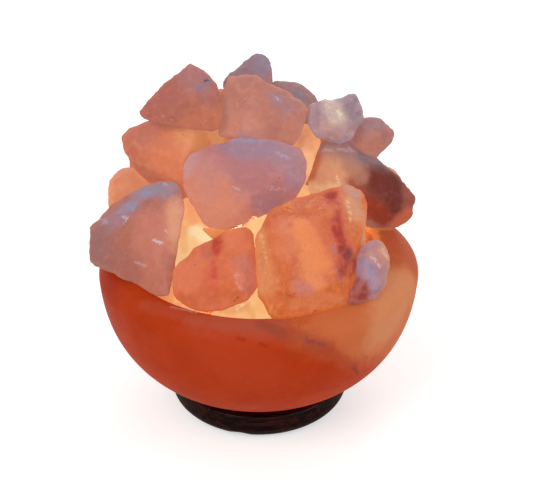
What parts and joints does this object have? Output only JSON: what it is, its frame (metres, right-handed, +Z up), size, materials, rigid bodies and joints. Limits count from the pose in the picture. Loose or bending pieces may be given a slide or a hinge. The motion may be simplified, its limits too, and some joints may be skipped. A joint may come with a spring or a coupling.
{
  "type": "salt crystal lamp",
  "caption": "Free-standing table lamp: a turned rock-salt bowl on a dark wooden foot, heaped with rough salt lumps round a small bulb in a spring-clip holder.",
  "frame": {"origin": "centre of the wooden foot's flat underside", "axes": "+Z up along the bowl's axis, -Y towards the side the lamp is seen from, +X to its right"},
  "size_m": [0.2034, 0.1996, 0.2169],
  "materials": {
    "stained_wood": "dark stain under gloss lacquer",
    "bowl_salt": "turned and polished rock salt, lit from inside",
    "steel": "plain",
    "grey_plastic": "matt",
    "black_plastic": "satin moulded",
    "porcelain": "glazed",
    "brass": "plain",
    "nickel": "nickel plated",
    "black_glass": "opaque black glass",
    "solder": "solder",
    "clear_glass": "clear",
    "stem_glass": "clear",
    "hot_filament": "glowing wire",
    "lilac_salt": "rough salt, lilac above and salmon below",
    "orange_salt": "rough salt, orange",
    "red_orange_salt": "rough salt, orange red with a red vein",
    "dusky_salt": "rough salt, brown pink with blue lilac patches",
    "banded_salt": "rough salt, lilac brown with a tan end and a dark red band",
    "pink_salt": "rough salt, salmon pink",
    "pale_lilac_salt": "rough salt, pale lilac crystal",
    "brown_pink_salt": "rough salt, brown pink",
    "grey_lilac_salt": "rough salt, grey lilac",
    "lit_salt": "rough salt close to the bulb, orange",
    "glow_salt": "rough salt beside the bulb, bright cream"
  },
  "bodies": {
    "lamp": {"wood_base": "stained_wood", "salt_bowl": "bowl_salt", "base_screws": "steel", "wall_plugs": "grey_plastic", "chunk_centre": "lilac_salt", "chunk_front_left": "red_orange_salt", "chunk_upper_left": "orange_salt", "chunk_right": "banded_salt", "chunk_inner_right": "lit_salt", "chunk_inner_left": "glow_salt", "chunk_inner_centre": "glow_salt", "chunk_inner_front": "glow_salt", "chunk_back_high": "lit_salt", "chunk_back_right": "brown_pink_salt", "chunk_heart": "glow_salt", "chunk_side_left": "glow_salt", "chunk_side_right": "glow_salt", "chunk_side_back": "glow_salt", "chunk_side_front": "glow_salt", "chunk_under_lilac": "brown_pink_salt", "chunk_between": "lit_salt"},
    "holder": {"holder_cap": "black_plastic", "holder_shell": "black_plastic", "holder_core": "porcelain", "screw_sleeve": "brass", "centre_contact": "brass", "terminals": "brass", "spring_clip_right": "steel", "spring_clip_left": "steel"},
    "bulb_slider": {"bulb_contact": "solder"},
    "bulb": {"bulb_cap": "nickel", "bulb_insulator": "black_glass", "bulb_glass": "clear_glass", "bulb_stem": "stem_glass", "lead_wires": "steel", "filament_support": "steel", "filament": "hot_filament"},
    "chunk_back": {"chunk_back": "pink_salt"},
    "chunk_back_left": {"chunk_back_left": "orange_salt"},
    "chunk_back_top": {"chunk_back_top": "grey_lilac_salt"},
    "chunk_blue": {"chunk_blue": "lilac_salt"},
    "chunk_front_right": {"chunk_front_right": "orange_salt"},
    "chunk_left": {"chunk_left": "dusky_salt"},
    "chunk_lilac": {"chunk_lilac": "pale_lilac_salt"},
    "chunk_peak": {"chunk_peak": "grey_lilac_salt"},
    "chunk_sliver_right": {"chunk_sliver_right": "orange_salt"},
    "chunk_small_left": {"chunk_small_left": "orange_salt"},
    "chunk_small_right": {"chunk_small_right": "pink_salt"},
    "chunk_top_left": {"chunk_top_left": "brown_pink_salt"},
    "chunk_upper_centre": {"chunk_upper_centre": "pink_salt"},
    "chunk_wedge": {"chunk_wedge": "lit_salt"}
  },
  "joints": [
    {"name": "holder_slide", "type": "slide", "parent": "lamp", "child": "holder", "axis": [0, 0, -1], "range_m": [0, 0.1]},
    {"name": "bulb_rise", "type": "slide", "parent": "holder", "child": "bulb_slider", "axis": [0, 0, 1], "range_m": [0, 0.00848]},
    {"name": "bulb_turn", "type": "hinge", "parent": "bulb_slider", "child": "bulb", "pos_m": [0, 0, 0.035], "axis": [0, 0, 1], "range_deg": [0, 1080]},
    {"name": "back_lift", "type": "slide", "parent": "lamp", "child": "chunk_back", "axis": [-0.1695, 0.977, 0.1296], "range_m": [0, 0.06]},
    {"name": "back_left_lift", "type": "slide", "parent": "lamp", "child": "chunk_back_left", "axis": [-0.6695, 0.7295, 0.1399], "range_m": [0, 0.06]},
    {"name": "back_top_lift", "type": "slide", "parent": "lamp", "child": "chunk_back_top", "axis": [0.3287, 0.8366, 0.4382], "range_m": [0, 0.06]},
    {"name": "blue_lift", "type": "slide", "parent": "lamp", "child": "chunk_blue", "axis": [0.7896, -0.5997, 0.1299], "range_m": [0, 0.06]},
    {"name": "front_right_lift", "type": "slide", "parent": "lamp", "child": "chunk_front_right", "axis": [-0.2986, -0.9158, 0.2688], "range_m": [0, 0.06]},
    {"name": "left_lift", "type": "slide", "parent": "lamp", "child": "chunk_left", "axis": [-0.8996, -0.4198, 0.12], "range_m": [0, 0.06]},
    {"name": "lilac_lift", "type": "slide", "parent": "lamp", "child": "chunk_lilac", "axis": [0.707, 0.4082, 0.5775], "range_m": [0, 0.06]},
    {"name": "peak_lift", "type": "slide", "parent": "lamp", "child": "chunk_peak", "axis": [-0.0401, 0.6217, 0.7822], "range_m": [0, 0.06]},
    {"name": "sliver_right_lift", "type": "slide", "parent": "lamp", "child": "chunk_sliver_right", "axis": [0.8763, 0.4581, 0.1494], "range_m": [0, 0.06]},
    {"name": "small_left_lift", "type": "slide", "parent": "lamp", "child": "chunk_small_left", "axis": [-0.9544, 0.2585, 0.1491], "range_m": [0, 0.06]},
    {"name": "small_right_lift", "type": "slide", "parent": "lamp", "child": "chunk_small_right", "axis": [0.8403, 0.4701, 0.2701], "range_m": [0, 0.06]},
    {"name": "top_left_lift", "type": "slide", "parent": "lamp", "child": "chunk_top_left", "axis": [-0.677, 0.2887, 0.677], "range_m": [0, 0.06]},
    {"name": "upper_centre_lift", "type": "slide", "parent": "lamp", "child": "chunk_upper_centre", "axis": [0.2203, 0.3204, 0.9213], "range_m": [0, 0.06]},
    {"name": "wedge_lift", "type": "slide", "parent": "lamp", "child": "chunk_wedge", "axis": [-0.6359, -0.7552, 0.159], "range_m": [0, 0.06]}
  ],
  "couplings": [
    {"joint": "bulb_rise", "follows": "bulb_turn", "m_per_rad": 0.00044882}
  ]
}
